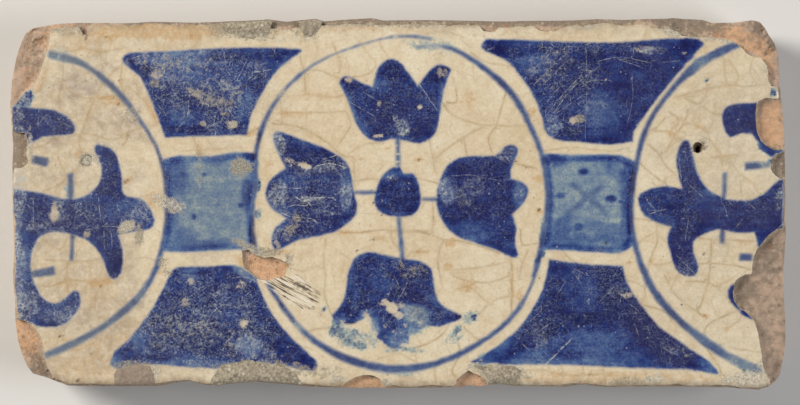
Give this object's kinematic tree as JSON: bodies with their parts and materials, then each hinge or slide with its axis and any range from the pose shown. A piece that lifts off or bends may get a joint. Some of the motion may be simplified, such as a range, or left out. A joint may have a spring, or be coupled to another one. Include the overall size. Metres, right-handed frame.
{
  "type": "border tile",
  "caption": "Oblong tin-glazed earthenware border tile painted in cobalt blue with a tulip medallion, half medallions with palmettes at the ends and dark panels between; worn and chipped.",
  "frame": {"origin": "centre of the bedding face, the plain back that lies in the mortar", "axes": "+X along the border, the tile's length; +Y across the border, up in the picture; +Z out of the glazed face"},
  "size_m": [0.132, 0.0632, 0.0144],
  "materials": {
    "biscuit": "matte fired clay",
    "tin_glaze": "glossy, crazed",
    "cobalt_dark": "glossy, scratched",
    "cobalt_thin": "glossy, soft edged",
    "cobalt_wash": "glossy, thin",
    "lime_mortar": "matte, gritty"
  },
  "bodies": {
    "root": {"biscuit_body": "biscuit", "tin_glaze": "tin_glaze", "medallion_ring_left": "cobalt_thin", "medallion_ring_right": "cobalt_thin", "ring_left": "cobalt_thin", "ring_right": "cobalt_thin", "flower_heart": "cobalt_dark", "tulip_upper": "cobalt_dark", "tulip_left": "cobalt_dark", "tulip_right": "cobalt_dark", "tulip_lower": "cobalt_dark", "stem_upper": "cobalt_thin", "stem_left": "cobalt_thin", "stem_right": "cobalt_thin", "stem_lower": "cobalt_thin", "panel_upper_left": "cobalt_dark", "panel_upper_right": "cobalt_dark", "panel_lower_left": "cobalt_dark", "panel_lower_right": "cobalt_dark", "palmette_left": "cobalt_dark", "palmette_right": "cobalt_dark", "leaf_upper_left": "cobalt_dark", "leaf_lower_left": "cobalt_dark", "leaf_upper_right": "cobalt_dark", "leaf_lower_right": "cobalt_dark", "leaf_lower_right_edge": "cobalt_dark", "vein_level_upper_left": "cobalt_thin", "vein_upright_upper_left": "cobalt_thin", "vein_upright_lower_left": "cobalt_thin", "vein_level_lower_left": "cobalt_thin", "vein_upright_upper_right": "cobalt_thin", "vein_level_upper_right": "cobalt_thin", "vein_upright_lower_right": "cobalt_thin", "vein_level_lower_right": "cobalt_thin", "link_cross_left": "cobalt_thin", "link_frame_left": "cobalt_dark", "link_wash_left": "cobalt_wash", "link_cross_right": "cobalt_thin", "link_frame_right": "cobalt_dark", "link_wash_right": "cobalt_wash", "mortar_north_west": "lime_mortar", "mortar_north": "lime_mortar", "mortar_south_west": "lime_mortar", "mortar_south": "lime_mortar", "mortar_south_east": "lime_mortar", "nail_hole_grit": "lime_mortar"}
  },
  "joints": []
}
